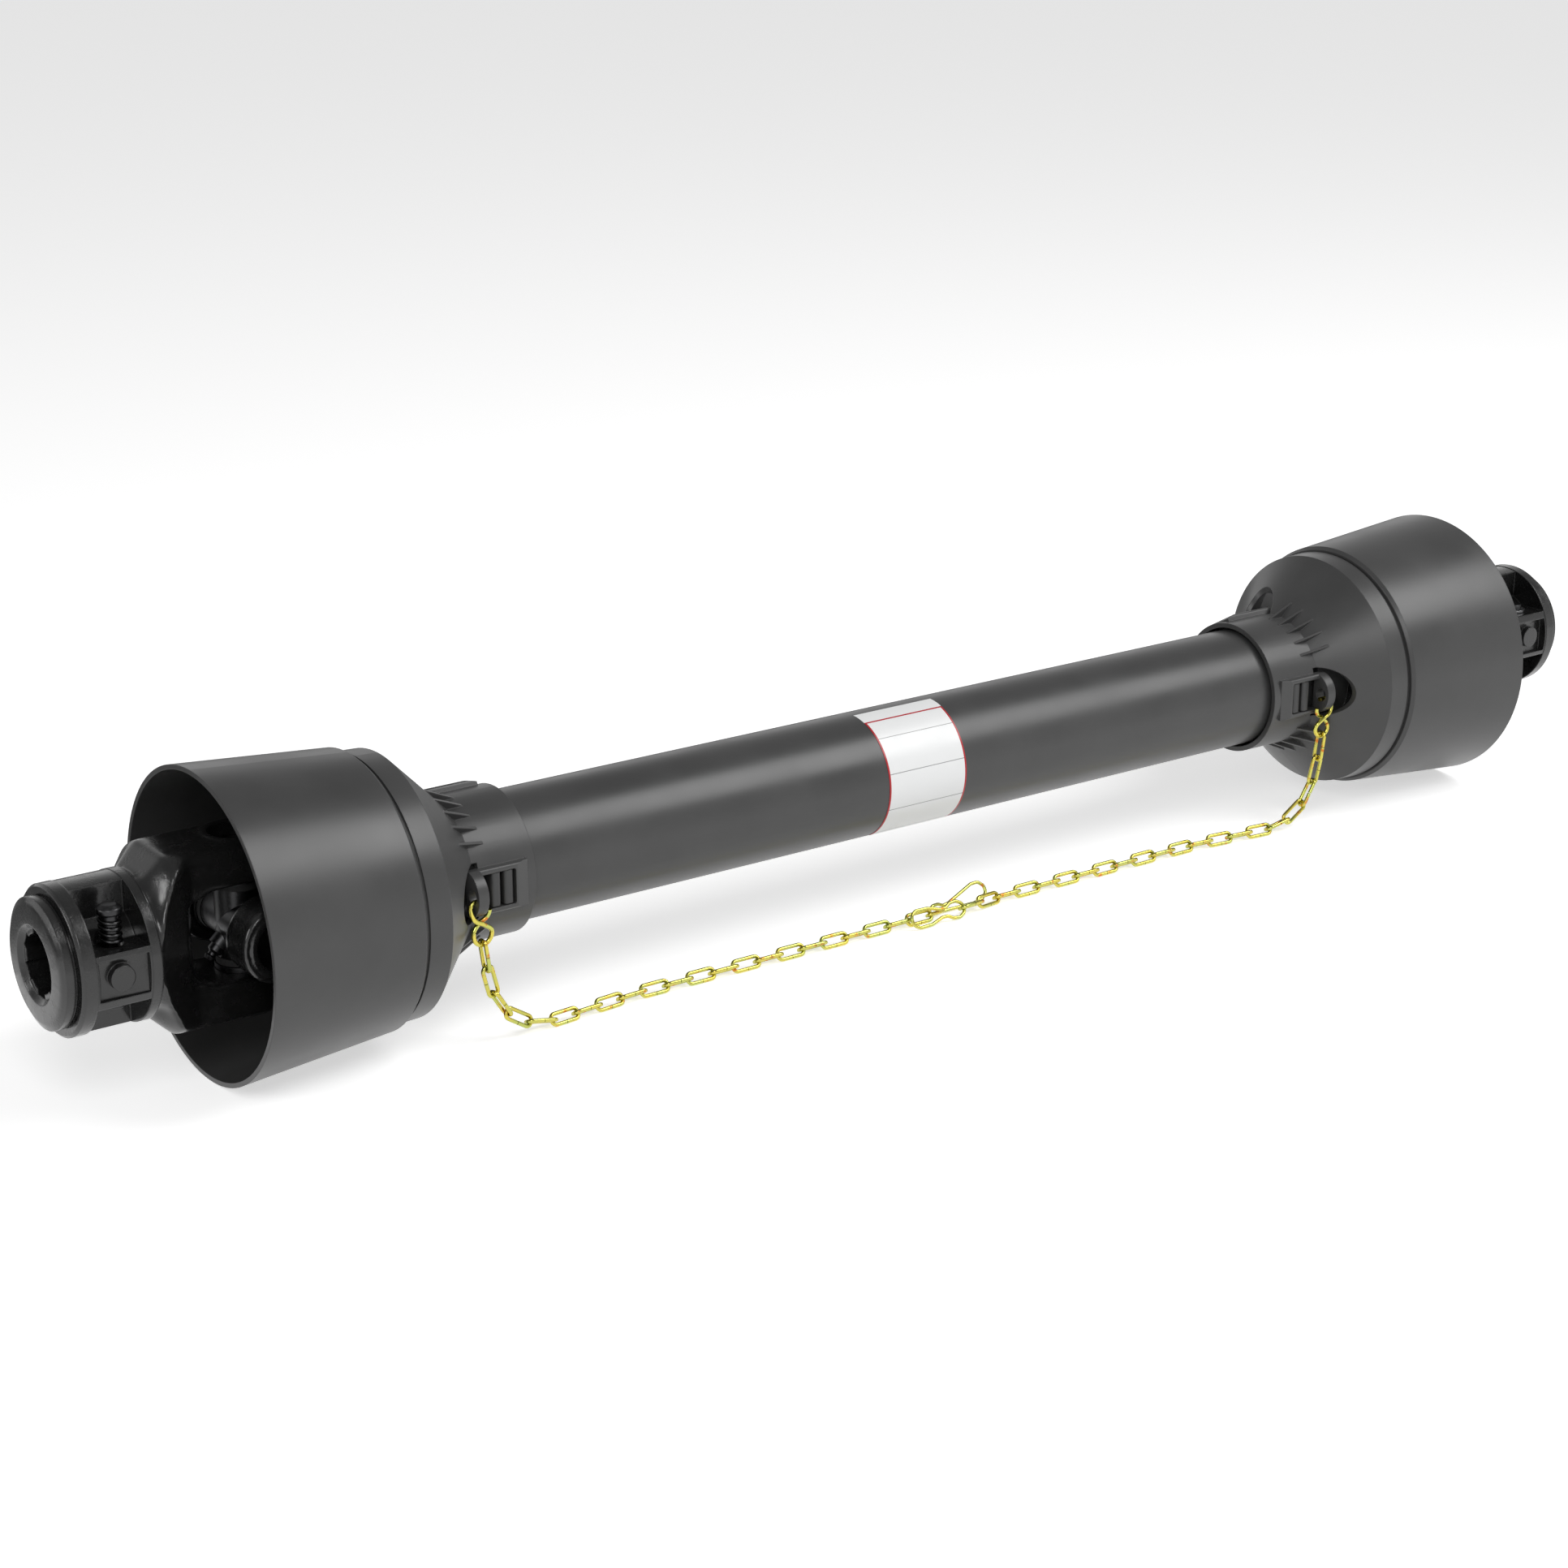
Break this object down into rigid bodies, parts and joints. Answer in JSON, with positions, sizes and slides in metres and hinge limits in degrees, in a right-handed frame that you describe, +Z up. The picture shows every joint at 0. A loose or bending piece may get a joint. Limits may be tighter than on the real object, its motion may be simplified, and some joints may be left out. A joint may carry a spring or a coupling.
{
  "type": "pto drive shaft",
  "caption": "Telescopic guarded drive shaft with a universal joint and a splined, pin-locked yoke at each end, bell guards and safety chains.",
  "frame": {"origin": "middle of the closed shaft, on its axis", "axes": "+X along the shaft towards the end with the inner tubes, +Z up, -Y to the viewer"},
  "size_m": [1.0284, 0.1624, 0.1624],
  "materials": {
    "guard_plastic": "satin moulded black plastic",
    "bearing_nylon": "plain black nylon",
    "yoke_paint": "black paint over a forged, slightly rough skin",
    "bare_steel": "turned and ground steel",
    "tube_steel": "drawn steel tube, oiled",
    "yellow_zinc": "yellow passivated zinc with a green and orange sheen",
    "black_steel": "blackened and oiled steel",
    "seal_rubber": "black rubber",
    "label_film": "white film"
  },
  "bodies": {
    "guard_left": {"guard_cone_left": "guard_plastic", "guard_tube_outer": "guard_plastic", "bearing_ring_left": "bearing_nylon", "tube_label": "label_film", "chain_hook_left": "yellow_zinc", "chain_left": "yellow_zinc", "snap_hook_left": "yellow_zinc"},
    "drive_left": {"tube_yoke_left": "yoke_paint", "drive_tube_outer": "tube_steel", "roll_pin_left": "bare_steel", "bearing_cap_front_left": "black_steel", "bearing_cap_back_left": "black_steel", "circlips_tube_left": "black_steel"},
    "cross_left": {"cross_left": "black_steel", "cross_seals_left": "seal_rubber", "grease_nipple_left": "yellow_zinc"},
    "yoke_left": {"implement_yoke_left": "yoke_paint", "bearing_cap_top_left": "black_steel", "bearing_cap_bottom_left": "black_steel", "circlips_implement_left": "black_steel", "pin_spring_left": "black_steel"},
    "pin_left": {"push_pin_left": "black_steel", "pin_clip_left": "bare_steel"},
    "guard_right": {"guard_cone_right": "guard_plastic", "guard_tube_inner": "guard_plastic", "bearing_ring_right": "bearing_nylon", "chain_hook_right": "yellow_zinc", "chain_right": "yellow_zinc", "snap_hook_right": "yellow_zinc"},
    "drive_right": {"tube_yoke_right": "yoke_paint", "drive_tube_inner": "tube_steel", "roll_pin_right": "bare_steel", "bearing_cap_front_right": "black_steel", "bearing_cap_back_right": "black_steel", "circlips_tube_right": "black_steel"},
    "cross_right": {"cross_right": "black_steel", "cross_seals_right": "seal_rubber", "grease_nipple_right": "yellow_zinc"},
    "yoke_right": {"implement_yoke_right": "yoke_paint", "bearing_cap_top_right": "black_steel", "bearing_cap_bottom_right": "black_steel", "circlips_implement_right": "black_steel", "pin_spring_right": "black_steel"},
    "pin_right": {"push_pin_right": "black_steel", "pin_clip_right": "bare_steel"}
  },
  "joints": [
    {"name": "shaft_spin", "type": "hinge", "parent": "guard_left", "child": "drive_left", "pos_m": [0, 0, 0], "axis": [1, 0, 0], "continuous": true},
    {"name": "telescope", "type": "slide", "parent": "drive_left", "child": "drive_right", "axis": [1, 0, 0], "range_m": [0, 0.255]},
    {"name": "guard_right_spin", "type": "hinge", "parent": "drive_right", "child": "guard_right", "pos_m": [0, 0, 0], "axis": [1, 0, 0], "continuous": true},
    {"name": "cross_swing_left", "type": "hinge", "parent": "drive_left", "child": "cross_left", "pos_m": [-0.40625, 0, 0], "axis": [0, 1, 0], "range_deg": [-30, 30]},
    {"name": "yoke_swing_left", "type": "hinge", "parent": "cross_left", "child": "yoke_left", "pos_m": [-0.40625, 0, 0], "axis": [0, 0, 1], "range_deg": [-30, 30]},
    {"name": "pin_push_left", "type": "slide", "parent": "yoke_left", "child": "pin_left", "axis": [0, 0, -1], "range_m": [0, 0.008], "stiffness_N_per_m": 600, "springref_m": -0.003, "deforming": ["pin_spring_left"]},
    {"name": "cross_swing_right", "type": "hinge", "parent": "drive_right", "child": "cross_right", "pos_m": [0.40625, 0, 0], "axis": [0, 1, 0], "range_deg": [-30, 30]},
    {"name": "yoke_swing_right", "type": "hinge", "parent": "cross_right", "child": "yoke_right", "pos_m": [0.40625, 0, 0], "axis": [0, 0, 1], "range_deg": [-30, 30]},
    {"name": "pin_push_right", "type": "slide", "parent": "yoke_right", "child": "pin_right", "axis": [0, 0, 1], "range_m": [0, 0.008], "stiffness_N_per_m": 600, "springref_m": -0.003, "deforming": ["pin_spring_right"]}
  ],
  "couplings": [
    {"joint": "guard_right_spin", "follows": "shaft_spin", "ratio": -1}
  ]
}
